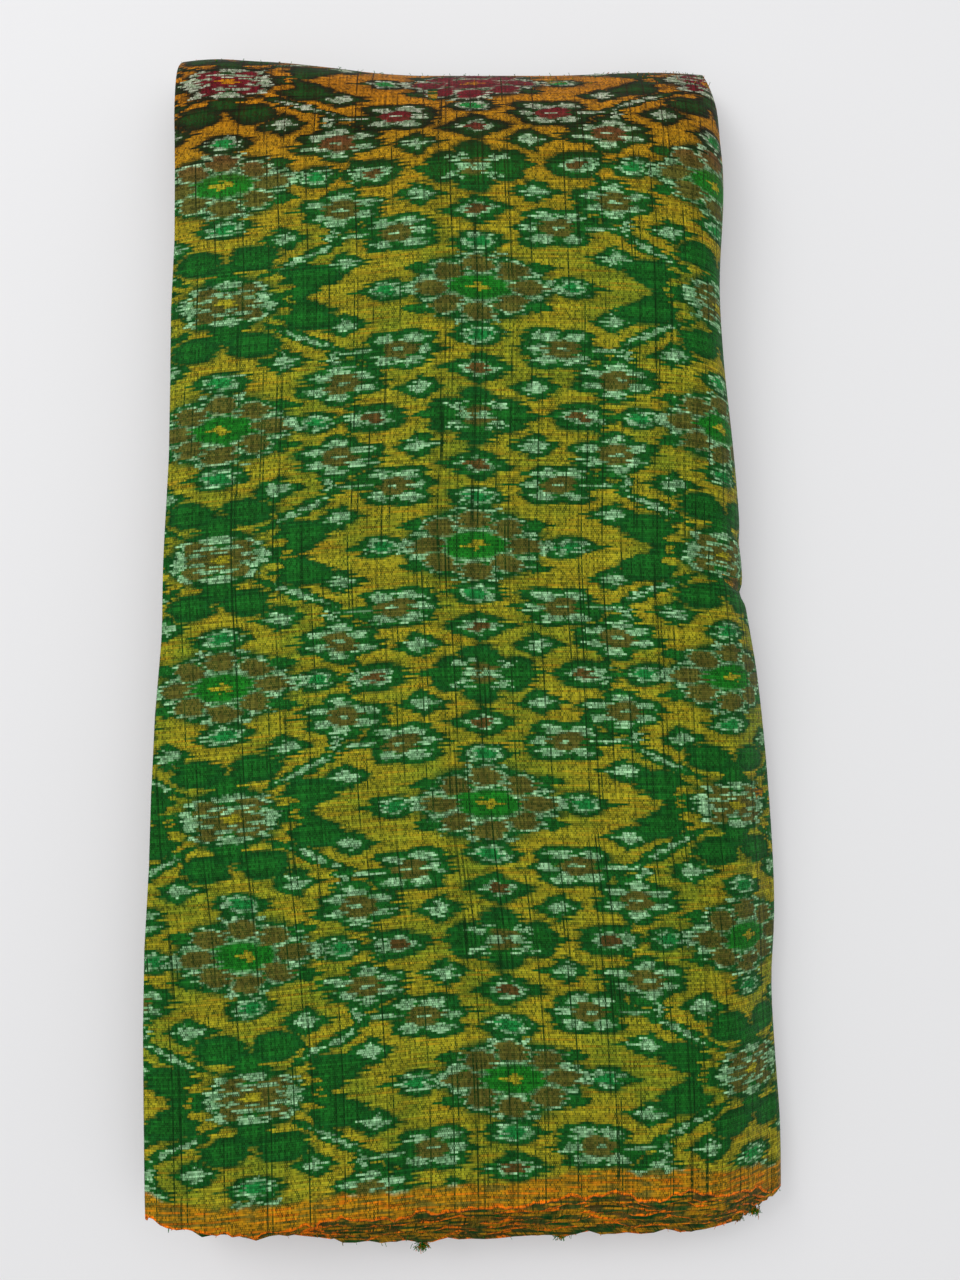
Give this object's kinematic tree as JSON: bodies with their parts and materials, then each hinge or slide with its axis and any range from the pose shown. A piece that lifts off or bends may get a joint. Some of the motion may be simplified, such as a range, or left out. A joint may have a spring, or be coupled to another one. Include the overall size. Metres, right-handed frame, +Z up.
{
  "type": "folded fabric bolt",
  "caption": "Folded bolt of slubby ikat silk: long flat oblong of stacked layers, rolled fold at the far end, selvedges at the near end, right side curled over.",
  "frame": {"origin": "centre of the footprint, on the surface that the bolt lies on", "axes": "+Y along the bolt, towards the rolled fold; -Y is the end with the selvedges; +Z up, out of the top layer; +X towards the side that curls over"},
  "size_m": [0.2976, 0.5704, 0.044],
  "materials": {
    "silk": "slubby hand-loomed silk, resist-dyed warp in olive gold, greens and brown, with orange along both selvedges and the middle; dull sheen"
  },
  "bodies": {
    "root": {"ikat_silk_cloth": "silk"}
  },
  "joints": []
}
